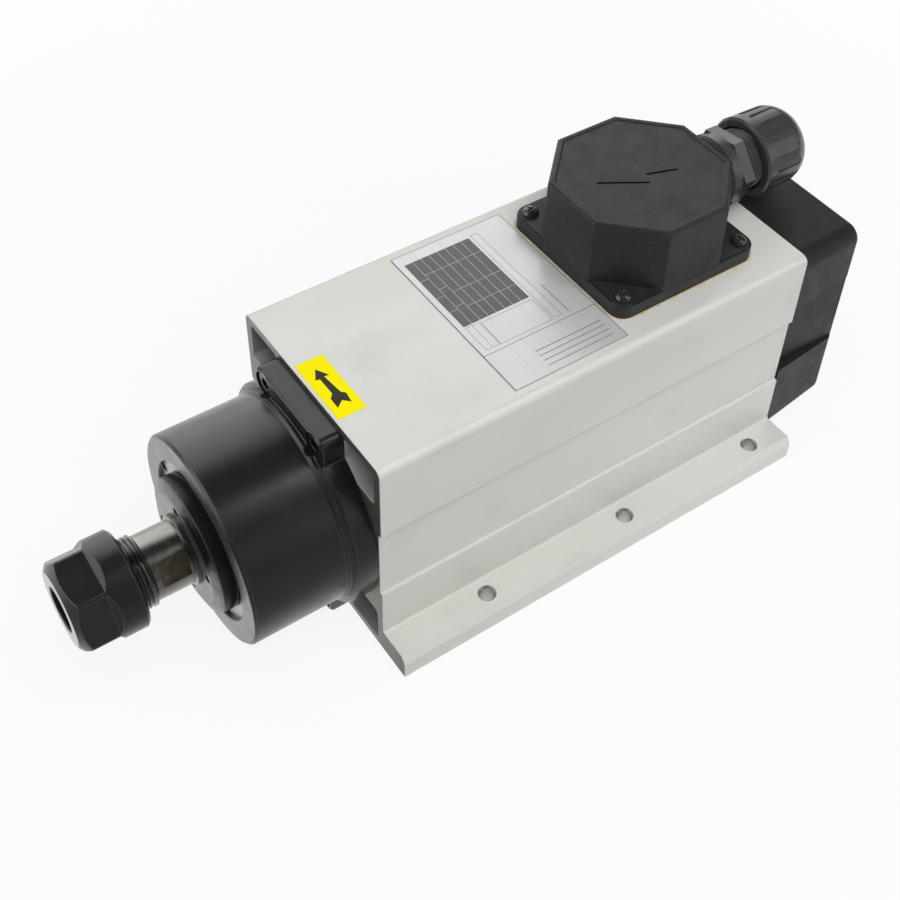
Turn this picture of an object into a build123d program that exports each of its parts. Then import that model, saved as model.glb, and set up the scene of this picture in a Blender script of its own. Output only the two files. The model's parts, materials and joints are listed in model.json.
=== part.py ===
from build123d import *
from math import cos, pi, radians, sin, sqrt, tan
import os

# Square air-cooled motor spindle: a black bearing nose with a collet chuck, an
# extruded aluminium body with feet, a terminal box with a cable gland and a
# plastic fan cover. Millimetres. The nose points to -Y, the mounting face is
# Z = 0 and the origin is the middle of the six foot holes.

os.makedirs("parts", exist_ok=True)

# Clearances
run_fit = 0.05          # radial, pieces that turn or slide on each other
seat_fit = 0.02         # radial, pieces that are fixed in each other
free_gap = 0.4          # beside a turning piece that touches nothing

# Extruded body
body_width = 84.0
body_rise = 10.0        # the body is this much higher than wide
body_length = 179.0
bolts_to_rear = 78.0    # middle pair of foot holes to the rear face
edge_radius = 3.0
bore_wall = 3.2         # between the stator bore and the recessed side
side_recess = 1.3
side_recess_height = 31.0
channel_side_wall = 3.5
channel_top_wall = 3.3
channel_bottom_wall = 2.7
channel_ring_wall = 3.4
channel_corner = 1.5
foot_overhang = 13.5
foot_height = 10.0
foot_bevel_width = 1.8
foot_bevel_height = 2.8
foot_root = 1.0         # hollow corner between the foot and the side
foot_hole_side = 6.5    # foot holes beside the body
foot_hole_end = 15.8    # last foot holes in front of the rear face
foot_hole_radius = 2.75
foot_hole_mouth = 3.4
cable_hole_radius = 7.0

# Flange that closes each end of the body
flange_edge = 1.2       # round flange to the side of the body
flange_thickness = 8.2
lug_width = 43.0
lug_edge = 2.0          # lug to the top and bottom of the body
lug_corner = 3.5
spigot_length = 6.0
spigot_wall = 5.0
flange_screw_x = 15.5
counterbore_radius = 4.6
counterbore_depth = 5.6
counterbore_edge = 0.4
flange_screw_radius = 2.5
flange_screw_grip = 10.0

# Nose with the front bearings
nose_step = 2.9         # nose inside the flange
nose_length = 43.8      # front face to the body
nose_root_step = 1.0
nose_root_length = 1.3
recess_radius = 28.8
retainer_inset = 1.8
retainer_thickness = 6.2
retainer_bore = 19.0
retainer_notches = 8
notch_width = 3.0
notch_depth = 2.4
bearing_width = 12.0
bearing_bore = 12.5     # radius
bearing_outer = 23.5
ball_radius = 3.2
ball_count = 10
spacer_length = 6.0
shoulder_lip = 3.3

# Shaft and chuck
chuck_reach = 83.0      # shaft end in front of the body
thread_radius = 12.5
thread_pitch = 1.5
thread_length = 18.6
neck_radius = 11.4
flats_across = 21.0
flats_length = 9.9
flats_gap = 2.8         # from the end of the thread to the flats
flats_angle = 29.6
shaft_step = 51.0       # where the neck meets the bearing seat
shaft_shoulder = 16.0
rotor_seat_radius = 15.0
rear_journal = 8.5
tail_radius = 7.0
tail_length = 28.0      # behind the rear face of the body
shaft_bore_radius = 5.5
collet_radius = 10.5
collet_length = 31.5
collet_bore = 5.0
collet_taper = 8.0      # degrees, half angle
collet_reach = 6.4      # front of the collet to the shaft end
collet_front_radius = 9.6
collet_land = 4.4
collet_groove = 1.5
collet_groove_radius = 9.1
collet_slot = 0.8
collet_slots = 8
nut_length = 22.8
nut_across = 30.0
nut_collar_radius = 17.05
nut_collar_length = 10.6
nut_face = 13.0         # flat ring at the front
nut_cone = 2.8
nut_mouth = 7.9
nut_pocket = 10.2       # around the front of the collet
nut_inset = 2.5         # collet face behind the nut face
nut_lip = 1.0
nut_angle = -12.2

# Dust disc that clamps the front bearings
disc_radius = 24.3
disc_face_radius = 19.8
disc_front = 49.1       # in front of the body
disc_bevel = 1.5
disc_rim = 5.0
disc_hub_radius = 15.6
disc_holes = 4
disc_hole_radius = 1.6
disc_hole_circle = 16.4

# Motor
stator_start = 40.0
stator_length = 90.0
stator_bore = 22.6
slot_count = 12
slot_mouth = 2.4        # tooth tips to the slot
yoke = 4.5              # slot to the outside of the stator
slot_width = 6.0
slot_gap = 0.4
winding_length = 17.0
winding_lift = 2.0      # windings to the tooth tips
winding_gap = 2.5       # windings to the body
winding_front_edge = 4.0
winding_side_edge = 3.0
air_gap = 0.4
rotor_end_length = 8.0
rotor_overhang = 2.0    # stator core past the rotor core at each end

# Rear bearing and bracket
rear_bearing_outer = 17.5
rear_bearing_width = 10.0
rear_ball_radius = 2.6
rear_ball_count = 8
rear_bearing_inset = 9.0  # from the rear face of the body into it
rear_hub_radius = 23.0
wave_spring_length = 1.4
bracket_thickness = 5.0
rear_screw_x = 17.3
rear_dish = 2.5         # hollow between the hub and the spigot
rear_screw_edge = 0.4

# Fan and its cover
cover_length = 31.4
cover_gap = 0.3
cover_side_inset = 0.5
cover_top_inset = 1.0
cover_bottom_inset = 2.0
cover_taper = 2.6
cover_corner = 6.0
cover_edge = 3.0
cover_wall = 2.4
cover_band_height = 32.0
cover_band_rise = 5.0   # middle of the band above the axis
cover_band_depth = 2.2
grille_inset = 0.5      # grille inside the fan's circle
grille_slot = 3.4
grille_bar = 3.0
cover_screw_angle = 40.0
cover_screw_gap = 2.1   # cover posts to the fan's circle
cover_post_radius = 3.6
cover_screw_radius = 1.7
cover_screw_head = 3.2
fan_tip_gap = 4.1
fan_hub_radius = 10.5
fan_width = 13.0
fan_clearance = 3.0
fan_blades = 7
blade_thickness = 1.8
circlip_thickness = 1.0
circlip_radius = 9.0
circlip_depth = 0.6
circlip_opening = 5.0

# Terminal box
box_side = 62.0
box_centre = 132.5      # behind the front face of the body
box_plate = 5.0
box_corner = 5.5
box_height = 30.6       # top of the box above the body
box_draft = 0.5
box_wall = 2.4
box_edge = 0.8
box_rim = 2.3           # around the sunk panel of the lid
box_panel_depth = 0.4
gasket_thickness = 0.8
box_screw_edge = 5.0    # screws to the sides of the plate
box_screw_radius = 1.5
box_screw_head = 3.0
box_screw_head_height = 2.2
box_screw_grip = 3.0
block_length = 34.0
block_width = 12.0
block_height = 9.0
block_screws = 4
block_pitch = 8.0
block_offset = 13.0     # terminal block in front of the cable hole
block_screw_radius = 1.9

# Cable gland
gland_rise = 16.3       # gland axis above the body
gland_thread = 10.2
gland_bore = 6.4
gland_across = 25.0
gland_hex_length = 4.8
gland_collar_radius = 13.2
gland_collar_length = 4.4
washer_thickness = 2.4
washer_radius = 13.8
gland_tube_radius = 11.4
gland_tube_length = 12.2
gland_seal_bore = 8.4
gland_inner_length = 10.0
locknut_length = 5.0
locknut_across = 23.0
locknut_pad = 2.0       # pad inside the box that the locknut lies on
seal_radius = 8.1
seal_hole = 4.0
seal_length = 16.0
seal_depth = 6.4        # in the tube when the cap is at rest
cap_travel = 4.5
gland_turn = 9.0
cap_gap = 5.7           # cap rim to the hexagon at rest
cap_length = 22.6
cap_radius = 15.3
cap_nose_radius = 9.4
cap_dome = 7.5
cap_bore = 12.0
cap_hole = 6.2
cap_flutes = 16
flute_angle = 8.6
flute_start = 4.0       # from the rim
flute_length = 12.2
flute_width = 2.9
flute_depth = 0.9

# Plates on the top face
plate_width = 74.0
plate_length = 46.0
plate_thickness = 0.3
plate_gap = 0.9         # rating plate to the terminal box
sticker_width = 27.4
sticker_length = 10.2
sticker_thickness = 0.15
sticker_start = 1.2
sticker_shift = 2.8

# Worked out from the sizes above
half_width = body_width / 2
body_height = body_width + body_rise
front_to_bolts = body_length - bolts_to_rear
front_y = -front_to_bolts
foot_pitch_x = body_width + 2 * foot_hole_side
foot_pitch_y = min(front_to_bolts, bolts_to_rear) - foot_hole_end
axis_height = body_height / 2
bore_radius = half_width - side_recess - bore_wall
flange_radius = half_width - flange_edge
nose_radius = flange_radius - nose_step
nose_root = nose_radius + nose_root_step
slot_inner = stator_bore + slot_mouth
slot_outer = bore_radius - yoke
winding_inner = stator_bore + winding_lift
winding_outer = bore_radius - winding_gap
winding_edge_limit = 0.4 * (winding_outer - winding_inner)
front_edge = min(winding_front_edge, winding_edge_limit)
side_edge = min(winding_side_edge, winding_edge_limit)
lug_half = body_height / 2 - lug_edge
screw_rise = lug_half - counterbore_edge - counterbore_radius
screw_head = 2 * flange_screw_radius
screw_head_radius = counterbore_radius - 0.35
band_x = half_width - cover_side_inset - cover_taper / 2
band_z = axis_height + cover_band_rise
cover_inner = band_x - cover_band_depth - cover_wall
bracket_radius = cover_inner - free_gap
fan_radius = cover_inner - fan_tip_gap
grille_radius = fan_radius - grille_inset
cover_screw_circle = fan_radius + cover_screw_gap + cover_post_radius
cover_height_inset = max(cover_top_inset, cover_bottom_inset)
bracket_slant = cover_taper * bracket_thickness / cover_length
bracket_half = axis_height - cover_height_inset - cover_wall - bracket_slant - free_gap
rear_screw_rise = bracket_half - screw_head_radius - rear_screw_edge
channel_inner = lug_width / 2
ring_radius = bore_radius + channel_ring_wall
bearing_front = retainer_inset + retainer_thickness - nose_length
bearing_spacing = bearing_width + spacer_length
bearing_back = bearing_front + bearing_spacing + bearing_width
nut_back = -chuck_reach - collet_reach - nut_inset + nut_length
rear_bearing_start = body_length - rear_bearing_inset
box_y = front_y + box_centre
box_top = body_height + box_height
gland_y = box_y + box_side / 2
box_screw_pitch = box_side - 2 * box_screw_edge
plate_end = box_centre - box_side / 2 - plate_gap
plate_start = plate_end - plate_length
gland_z = body_height + gland_rise

spindle_axis = Axis((0, front_y, axis_height), (0, 1, 0))
gland_axis = Axis((0, gland_y, gland_z), (0, 1, 0))
axis_plane = Plane(origin=(0, front_y, axis_height), x_dir=(0, 1, 0), z_dir=(1, 0, 0))
gland_plane = Plane(origin=(0, gland_y, gland_z), x_dir=(0, 1, 0), z_dir=(1, 0, 0))


def station(along, height=axis_height):
    """Plane across the spindle, seen from the nose, along behind the body's front face."""
    return Plane(origin=(0, front_y + along, height), x_dir=(1, 0, 0), z_dir=(0, -1, 0))


def gland_station(along):
    return Plane(origin=(0, gland_y + along, gland_z), x_dir=(1, 0, 0), z_dir=(0, -1, 0))


def turned(outline, plane=axis_plane, axis=spindle_axis):
    """Ring or shaft from an outline of (distance along the axis, radius)."""
    with BuildPart() as piece:
        with BuildSketch(plane):
            with BuildLine():
                Polyline(*outline, close=True)
            make_face()
        revolve(axis=axis)
    return piece.part


def tube(start, length, inner, outer):
    return [(start, inner), (start, outer), (start + length, outer), (start + length, inner)]


def save(part, name):
    part.label = name
    export_step(part, "parts/" + name + ".step")


# Extruded body
with BuildPart() as body_extrusion:
    with BuildSketch(station(0, 0)) as section:
        with Locations((0, axis_height)):
            Rectangle(body_width, body_height)
        top_corners = section.vertices().group_by(Axis.Y)[-1]
        fillet(top_corners, edge_radius)
        with BuildLine():
            foot_edge = half_width + foot_overhang
            right = [
                (0, 0),
                (foot_edge, 0),
                (foot_edge, foot_height - foot_bevel_height),
                (foot_edge - foot_bevel_width, foot_height),
                (0, foot_height),
            ]
            Polyline(*right, close=True)
        make_face()
        mirror(about=Plane.YZ)
        foot_top = section.vertices().group_by(Axis.Y)[2]
        fillet([corner for corner in foot_top if abs(corner.X) < half_width + foot_root], foot_root)
        for side in (-1, 1):
            with Locations((side * half_width, axis_height)):
                Rectangle(2 * side_recess, side_recess_height, mode=Mode.SUBTRACT)
        with Locations((0, axis_height)):
            Circle(bore_radius, mode=Mode.SUBTRACT)
    extrude(amount=-body_length)
    # Air channels in the four corners
    with BuildSketch(station(0)) as channels:
        side_x = half_width - channel_side_wall
        top_z = axis_height - channel_top_wall
        low_z = axis_height - channel_bottom_wall
        floor_z = 0.71 * ring_radius
        for side in (-1, 1):
            with Locations((side * (channel_inner + side_x) / 2, (floor_z + top_z) / 2)):
                Rectangle(side_x - channel_inner, top_z - floor_z)
            with Locations((side * (channel_inner + side_x) / 2, -(floor_z + low_z) / 2)):
                Rectangle(side_x - channel_inner, low_z - floor_z)
        fillet(channels.vertices(), channel_corner)
        Circle(ring_radius, mode=Mode.SUBTRACT)
    extrude(amount=-body_length, mode=Mode.SUBTRACT)
    # Holes for the screws of both flanges
    front_holes = (0, -1, flange_screw_x, screw_rise)
    rear_holes = (body_length, 1, rear_screw_x, rear_screw_rise)
    for along, turn, screw_x, rise in (front_holes, rear_holes):
        with BuildSketch(station(along)):
            with GridLocations(2 * screw_x, 2 * rise, 2, 2):
                Circle(flange_screw_radius + seat_fit)
        extrude(amount=turn * (flange_screw_grip + 2), mode=Mode.SUBTRACT)
    # Foot holes, countersunk
    with Locations(Plane.XY.offset(foot_height)):
        with GridLocations(foot_pitch_x, foot_pitch_y, 2, 3):
            CounterSinkHole(foot_hole_radius, foot_hole_mouth, counter_sink_angle=90)
    # Cable hole and screw holes under the terminal box
    with BuildSketch(Plane.XY.offset(body_height)):
        with Locations((0, box_y + block_offset / 2)):
            Circle(cable_hole_radius)
        with Locations((0, box_y)):
            with GridLocations(box_screw_pitch, box_screw_pitch, 2, 2):
                Circle(box_screw_radius + seat_fit)
    extrude(amount=-(body_height - axis_height - bore_radius * 0.9), mode=Mode.SUBTRACT)
save(body_extrusion.part, "body_extrusion")


def flange_face(along, half_height, radius):
    """Round flange with a square lug above and below."""
    with BuildSketch(station(along)) as face:
        Rectangle(lug_width, 2 * half_height)
        fillet(face.vertices(), lug_corner)
        Circle(radius)
    return face.sketch


# Front housing
with BuildPart() as front_housing:
    extrude(flange_face(0, lug_half, flange_radius), amount=flange_thickness)
    chamfer(front_housing.faces().sort_by(Axis.Y)[0].outer_wire().edges(), 0.8)
    root = -flange_thickness - nose_root_length
    with BuildSketch(axis_plane):
        with BuildLine():
            Polyline(
                (spigot_length, 0),
                (spigot_length, bore_radius - seat_fit),
                (0, bore_radius - seat_fit),
                (-flange_thickness, nose_root),
                (root, nose_root),
                (root - 1.0, nose_radius),
                (1.0 - nose_length, nose_radius),
                (-nose_length, nose_radius - 1.0),
                (-nose_length, 0),
                close=True,
            )
        make_face()
    revolve(axis=spindle_axis)
    shoulder_bore = bearing_outer - shoulder_lip
    with BuildSketch(axis_plane):
        with BuildLine():
            Polyline(
                (-nose_length, 0),
                (-nose_length, recess_radius + 0.3),
                (0.3 - nose_length, recess_radius),
                (bearing_front + 0.3, recess_radius),
                (bearing_front + 0.3, bearing_outer + seat_fit),
                (bearing_back, bearing_outer + seat_fit),
                (bearing_back, shoulder_bore),
                (0, shoulder_bore),
                (spigot_length, bore_radius - spigot_wall),
                (spigot_length, 0),
                close=True,
            )
        make_face()
    revolve(axis=spindle_axis, mode=Mode.SUBTRACT)
    with Locations(station(-flange_thickness)):
        with GridLocations(2 * flange_screw_x, 2 * screw_rise, 2, 2):
            CounterBoreHole(flange_screw_radius + 0.2, counterbore_radius, counterbore_depth)
save(front_housing.part, "front_housing")


# Socket head cap screws of the front flange
flange_seat = counterbore_depth - flange_thickness
with BuildPart() as flange_screws:
    with BuildSketch(station(flange_seat)):
        with GridLocations(2 * flange_screw_x, 2 * screw_rise, 2, 2):
            Circle(flange_screw_radius)
    extrude(amount=flange_seat - flange_screw_grip)
    with BuildSketch(station(flange_seat)):
        with GridLocations(2 * flange_screw_x, 2 * screw_rise, 2, 2):
            Circle(screw_head_radius)
    extrude(amount=screw_head)
    with BuildSketch(station(flange_seat - screw_head)):
        with GridLocations(2 * flange_screw_x, 2 * screw_rise, 2, 2):
            RegularPolygon(0.8 * flange_screw_radius, 6, major_radius=False)
    extrude(amount=-0.6 * screw_head, mode=Mode.SUBTRACT)
save(flange_screws.part, "flange_screws")

# Ring that holds the front bearings in the nose
with BuildPart() as retainer:
    with BuildSketch(axis_plane):
        with BuildLine():
            start = retainer_inset - nose_length
            Polyline(*tube(start, retainer_thickness, retainer_bore, recess_radius - seat_fit), close=True)
        make_face()
    revolve(axis=spindle_axis)
    with BuildSketch(station(start)):
        with PolarLocations(recess_radius, retainer_notches, start_angle=flats_angle - 6.5):
            Rectangle(2 * notch_depth, notch_width)
    extrude(amount=-notch_depth, mode=Mode.SUBTRACT)
save(retainer.part, "front_retainer")


def make_bearing(name, start, width, inner, outer, ball, count):
    """Ball bearing as four pieces: outer ring, inner ring, cage and balls."""
    pitch = (inner + outer) / 2
    middle = start + width / 2
    land = 0.58 * ball
    groove = ball + run_fit
    with BuildPart() as outer_ring:
        with BuildSketch(axis_plane):
            with BuildLine():
                Polyline(*tube(start, width, pitch + land, outer), close=True)
            make_face()
            with Locations((middle, pitch)):
                Circle(groove, mode=Mode.SUBTRACT)
        revolve(axis=spindle_axis)
    save(outer_ring.part, name + "_outer_ring")
    with BuildPart() as inner_ring:
        with BuildSketch(axis_plane):
            with BuildLine():
                Polyline(*tube(start, width, inner + seat_fit, pitch - land), close=True)
            make_face()
            with Locations((middle, pitch)):
                Circle(groove, mode=Mode.SUBTRACT)
        revolve(axis=spindle_axis)
    save(inner_ring.part, name + "_inner_ring")
    with BuildPart(station(middle)) as cage:
        cage_inner = pitch - 0.35 * ball
        cage_outer = pitch + 0.35 * ball
        Cylinder(cage_outer, 2.6 * ball)
        Cylinder(cage_inner, 2.6 * ball, mode=Mode.SUBTRACT)
        with PolarLocations(pitch, count):
            Cylinder(ball + 2 * run_fit, 3 * ball, rotation=(0, 90, 0), mode=Mode.SUBTRACT)
    save(cage.part, name + "_cage")
    with BuildPart(station(middle)) as balls:
        with PolarLocations(pitch, count):
            Sphere(ball)
    save(balls.part, name + "_balls")


front_set = (bearing_width, bearing_bore, bearing_outer, ball_radius, ball_count)
make_bearing("front_bearing_a", bearing_front, *front_set)
make_bearing("front_bearing_b", bearing_front + bearing_spacing, *front_set)
rear_set = (rear_bearing_width, rear_journal, rear_bearing_outer, rear_ball_radius, rear_ball_count)
make_bearing("rear_bearing", rear_bearing_start, *rear_set)

# Spacers between the front bearings
spacer_start = bearing_front + bearing_width
spacer_wall = 3.0
inner_spacer = turned(tube(spacer_start, spacer_length, bearing_bore + seat_fit, bearing_bore + spacer_wall))
save(inner_spacer, "inner_spacer")
outer_spacer = turned(tube(spacer_start, spacer_length, bearing_outer - spacer_wall, bearing_outer))
save(outer_spacer, "outer_spacer")

# Dust disc, screwed on the shaft against the inner ring
with BuildPart() as dust_disc:
    disc_back = retainer_inset - nose_length - free_gap
    with BuildSketch(axis_plane):
        with BuildLine():
            Polyline(
                (-disc_front, bearing_bore + seat_fit),
                (-disc_front, disc_face_radius),
                (disc_bevel - disc_front, disc_radius),
                (disc_back, disc_radius),
                (disc_back, disc_hub_radius),
                (bearing_front, disc_hub_radius),
                (bearing_front, bearing_bore + seat_fit),
                close=True,
            )
        make_face()
    revolve(axis=spindle_axis)
    with BuildSketch(station(-disc_front)):
        with PolarLocations(disc_hole_circle, disc_holes, start_angle=8):
            Circle(disc_hole_radius)
    extrude(amount=-2.5, mode=Mode.SUBTRACT)
save(dust_disc.part, "dust_disc")

# Shaft
rotor_start = stator_start + rotor_overhang
rotor_end = stator_start + stator_length - rotor_overhang
seat_end = rotor_end + rotor_end_length + 2.0
thread_end = thread_length - chuck_reach
collet_front = -chuck_reach - collet_reach
collet_back = collet_front + collet_length
collet_taper_start = collet_land + collet_groove + 0.5
slope = tan(radians(collet_taper))


def collet_radius_at(along):
    """Radius of the tapered part, along behind the collet's front face."""
    return collet_radius - max(0, along - collet_taper_start) * slope


with BuildPart() as shaft:
    with BuildSketch(axis_plane):
        with BuildLine():
            Polyline(
                (-chuck_reach, 0),
                (-chuck_reach, thread_radius - 0.8),
                (0.8 - chuck_reach, thread_radius),
                (thread_end, thread_radius),
                (thread_end + 0.8, neck_radius),
                (-shaft_step, neck_radius),
                (0.4 - shaft_step, bearing_bore),
                (bearing_back, bearing_bore),
                (bearing_back, shaft_shoulder),
                (spigot_length + 4, shaft_shoulder),
                (spigot_length + 4, rotor_seat_radius),
                (seat_end, rotor_seat_radius),
                (seat_end, rear_journal + 3.0),
                (rear_bearing_start, rear_journal + 3.0),
                (rear_bearing_start, rear_journal),
                (rear_bearing_start + rear_bearing_width + 2.5, rear_journal),
                (rear_bearing_start + rear_bearing_width + 2.5, tail_radius),
                (body_length + tail_length, tail_radius),
                (body_length + tail_length, 0),
                close=True,
            )
        make_face()
    revolve(axis=spindle_axis)
    # Taper for the collet
    with BuildSketch(axis_plane):
        with BuildLine():
            mouth = collet_radius_at(collet_reach) + run_fit
            seat_bottom = collet_back + 1.0
            bottom_radius = collet_radius_at(collet_length + 1.0) + run_fit
            Polyline(
                (-chuck_reach, 0),
                (-chuck_reach, mouth),
                (seat_bottom, bottom_radius),
                (seat_bottom, shaft_bore_radius),
                (bearing_front, shaft_bore_radius),
                (bearing_front, 0),
                close=True,
            )
        make_face()
    revolve(axis=spindle_axis, mode=Mode.SUBTRACT)
    # Two spanner flats
    flats_start = thread_end + flats_gap
    with BuildSketch(station(flats_start)):
        with PolarLocations(flats_across / 2 + neck_radius, 2, start_angle=flats_angle):
            Rectangle(2 * neck_radius, 3 * neck_radius)
    extrude(amount=-flats_length, mode=Mode.SUBTRACT)
    # Groove for the fan's circlip
    fan_start = body_length + bracket_thickness + fan_clearance
    circlip_start = fan_start + fan_width + 0.2
    with BuildSketch(axis_plane):
        with BuildLine():
            groove_width = circlip_thickness + 0.1
            Polyline(
                *tube(circlip_start, groove_width, tail_radius - circlip_depth, tail_radius + 1),
                close=True,
            )
        make_face()
    revolve(axis=spindle_axis, mode=Mode.SUBTRACT)
save(shaft.part, "spindle_shaft")

# Collet
with BuildPart() as collet:
    with BuildSketch(axis_plane):
        with BuildLine():
            f = collet_front
            Polyline(
                (f, collet_bore),
                (f, collet_front_radius),
                (f + 1.6, collet_radius),
                (f + collet_land, collet_radius),
                (f + collet_land, collet_groove_radius),
                (f + collet_land + collet_groove, collet_groove_radius),
                (f + collet_land + collet_groove, collet_radius),
                (f + collet_taper_start, collet_radius),
                (collet_back, collet_radius_at(collet_length)),
                (collet_back, collet_bore),
                close=True,
            )
        make_face()
    revolve(axis=spindle_axis)
    for start, offset in ((0, 0), (collet_taper_start + 2, 180 / collet_slots)):
        length = collet_length - collet_taper_start - 2
        with BuildSketch(station(collet_front + start)):
            with PolarLocations(collet_radius, collet_slots, start_angle=offset):
                Rectangle(1.4 * collet_radius, collet_slot)
        extrude(amount=-length, mode=Mode.SUBTRACT)
save(collet.part, "collet")

# Collet nut
with BuildPart() as collet_nut:
    nut_front = nut_back - nut_length
    collar_front = nut_back - nut_collar_length
    # Six flats that run out behind in a slope
    for start, end, slope in ((nut_front, collar_front, 0), (collar_front, nut_back, -45)):
        with BuildSketch(station(start)):
            RegularPolygon(nut_across / 2, 6, major_radius=False, rotation=nut_angle)
        extrude(amount=start - end, taper=slope)
    # Turned outside: face, cone, collar and rear edge
    with BuildSketch(axis_plane):
        with BuildLine():
            Polyline(
                (nut_front, 0),
                (nut_front, nut_face),
                (nut_front + nut_cone, nut_collar_radius),
                (nut_back - 1.0, nut_collar_radius),
                (nut_back, nut_collar_radius - 1.0),
                (nut_back, 0),
                close=True,
            )
        make_face()
    revolve(axis=spindle_axis, mode=Mode.INTERSECT)
    # Inside: mouth, seat for the collet, groove lip and thread
    with BuildSketch(axis_plane):
        with BuildLine():
            lip_front = collet_front + collet_land + 0.2
            seat = collet_front + 0.2
            Polyline(
                (nut_front, 0),
                (nut_front, nut_mouth + 0.4),
                (nut_front + 0.4, nut_mouth),
                (collet_front - 0.3, nut_mouth),
                (collet_front - 0.3, nut_pocket),
                (seat, nut_pocket),
                (collet_front + 1.6, collet_radius + run_fit),
                (lip_front, collet_radius + run_fit),
                (lip_front, collet_groove_radius + 0.3),
                (lip_front + nut_lip, collet_groove_radius + 0.3),
                (lip_front + nut_lip, thread_radius + run_fit),
                (nut_back, thread_radius + run_fit),
                (nut_back, 0),
                close=True,
            )
        make_face()
    revolve(axis=spindle_axis, mode=Mode.SUBTRACT)
save(collet_nut.part, "collet_nut")

# Stator core with open slots
with BuildPart() as stator_core:
    with BuildSketch(station(stator_start)):
        Circle(bore_radius - seat_fit)
        Circle(stator_bore, mode=Mode.SUBTRACT)
        with PolarLocations((slot_inner + slot_outer) / 2, slot_count):
            Rectangle(slot_outer - slot_inner, slot_width, mode=Mode.SUBTRACT)
    extrude(amount=-stator_length)
save(stator_core.part, "stator_core")

# Windings: bars in the slots and a bundle at each end
with BuildPart() as windings:
    for along in (stator_start - winding_length, stator_start + stator_length):
        with BuildSketch(axis_plane):
            with BuildLine():
                ends = along + winding_length
                Polyline(
                    (along + front_edge, winding_inner),
                    (along, winding_inner + front_edge),
                    (along, winding_outer - side_edge),
                    (along + side_edge, winding_outer),
                    (ends - side_edge, winding_outer),
                    (ends, slot_outer - slot_gap),
                    (ends, slot_inner + slot_gap),
                    (ends - side_edge, winding_inner),
                    close=True,
                )
            make_face()
        revolve(axis=spindle_axis)
    with BuildSketch(station(stator_start)):
        with PolarLocations((slot_inner + slot_outer) / 2, slot_count):
            Rectangle(slot_outer - slot_inner - 2 * slot_gap, slot_width - 2 * slot_gap)
    extrude(amount=-stator_length)
save(windings.part, "stator_windings")

# Rotor
rotor_radius = stator_bore - air_gap
rotor_length = rotor_end - rotor_start
save(turned(tube(rotor_start, rotor_length, rotor_seat_radius + seat_fit, rotor_radius)), "rotor_core")
ring_inner = rotor_seat_radius + seat_fit
with BuildPart() as rotor_rings:
    for along in (rotor_start - rotor_end_length, rotor_end):
        with BuildSketch(axis_plane):
            with BuildLine():
                Polyline(*tube(along, rotor_end_length, ring_inner, rotor_radius - 1), close=True)
            make_face()
        revolve(axis=spindle_axis)
save(rotor_rings.part, "rotor_end_rings")

# Rear bracket with the rear bearing seat
with BuildPart() as rear_bracket:
    extrude(flange_face(body_length, bracket_half, bracket_radius), amount=-bracket_thickness)
    with BuildSketch(station(body_length)):
        for angle in (cover_screw_angle, 180 - cover_screw_angle):
            with PolarLocations(cover_screw_circle, 2, start_angle=angle):
                Circle(cover_post_radius)
    extrude(amount=-bracket_thickness)
    spring_end = rear_bearing_start + rear_bearing_width + wave_spring_length
    with BuildSketch(axis_plane):
        with BuildLine():
            Polyline(
                (rear_bearing_start, 0),
                (rear_bearing_start, rear_hub_radius),
                (body_length - spigot_length, rear_hub_radius),
                (body_length - spigot_length + rear_dish, rear_hub_radius + rear_dish),
                (body_length - spigot_length + rear_dish, bore_radius - spigot_wall),
                (body_length - spigot_length, bore_radius - spigot_wall),
                (body_length - spigot_length, bore_radius - seat_fit),
                (body_length, bore_radius - seat_fit),
                (body_length, bracket_radius),
                (body_length + bracket_thickness, rear_hub_radius),
                (body_length + bracket_thickness, 0),
                close=True,
            )
        make_face()
    revolve(axis=spindle_axis)
    with BuildSketch(axis_plane):
        with BuildLine():
            Polyline(
                (rear_bearing_start, 0),
                (rear_bearing_start, rear_bearing_outer + seat_fit),
                (spring_end, rear_bearing_outer + seat_fit),
                (spring_end, rear_journal + 2.5),
                (body_length + bracket_thickness, rear_journal + 2.5),
                (body_length + bracket_thickness, 0),
                close=True,
            )
        make_face()
    revolve(axis=spindle_axis, mode=Mode.SUBTRACT)
    with BuildSketch(station(body_length + bracket_thickness)):
        with GridLocations(2 * rear_screw_x, 2 * rear_screw_rise, 2, 2):
            Circle(flange_screw_radius + 0.2)
    extrude(amount=bracket_thickness + flange_screw_grip, mode=Mode.SUBTRACT)
    with BuildSketch(station(body_length + bracket_thickness)):
        for angle in (cover_screw_angle, 180 - cover_screw_angle):
            with PolarLocations(cover_screw_circle, 2, start_angle=angle):
                Circle(cover_screw_radius + seat_fit)
    extrude(amount=bracket_thickness - 0.5, mode=Mode.SUBTRACT)
save(rear_bracket.part, "rear_bracket")

# Screws of the rear bracket, heads on its rear face
bracket_back = body_length + bracket_thickness
with BuildPart() as bracket_screws:
    with BuildSketch(station(bracket_back)):
        with GridLocations(2 * rear_screw_x, 2 * rear_screw_rise, 2, 2):
            Circle(screw_head_radius)
    extrude(amount=-screw_head)
    with BuildSketch(station(bracket_back)):
        with GridLocations(2 * rear_screw_x, 2 * rear_screw_rise, 2, 2):
            Circle(flange_screw_radius)
    extrude(amount=bracket_thickness + flange_screw_grip)
    with BuildSketch(station(bracket_back + screw_head)):
        with GridLocations(2 * rear_screw_x, 2 * rear_screw_rise, 2, 2):
            RegularPolygon(0.8 * flange_screw_radius, 6, major_radius=False)
    extrude(amount=0.6 * screw_head, mode=Mode.SUBTRACT)
save(bracket_screws.part, "bracket_screws")

# Wave spring behind the rear bearing
spring_start = rear_bearing_start + rear_bearing_width
spring_outline = tube(spring_start, wave_spring_length, rear_bearing_outer - 3.2, rear_bearing_outer)
save(turned(spring_outline), "wave_spring")

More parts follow.
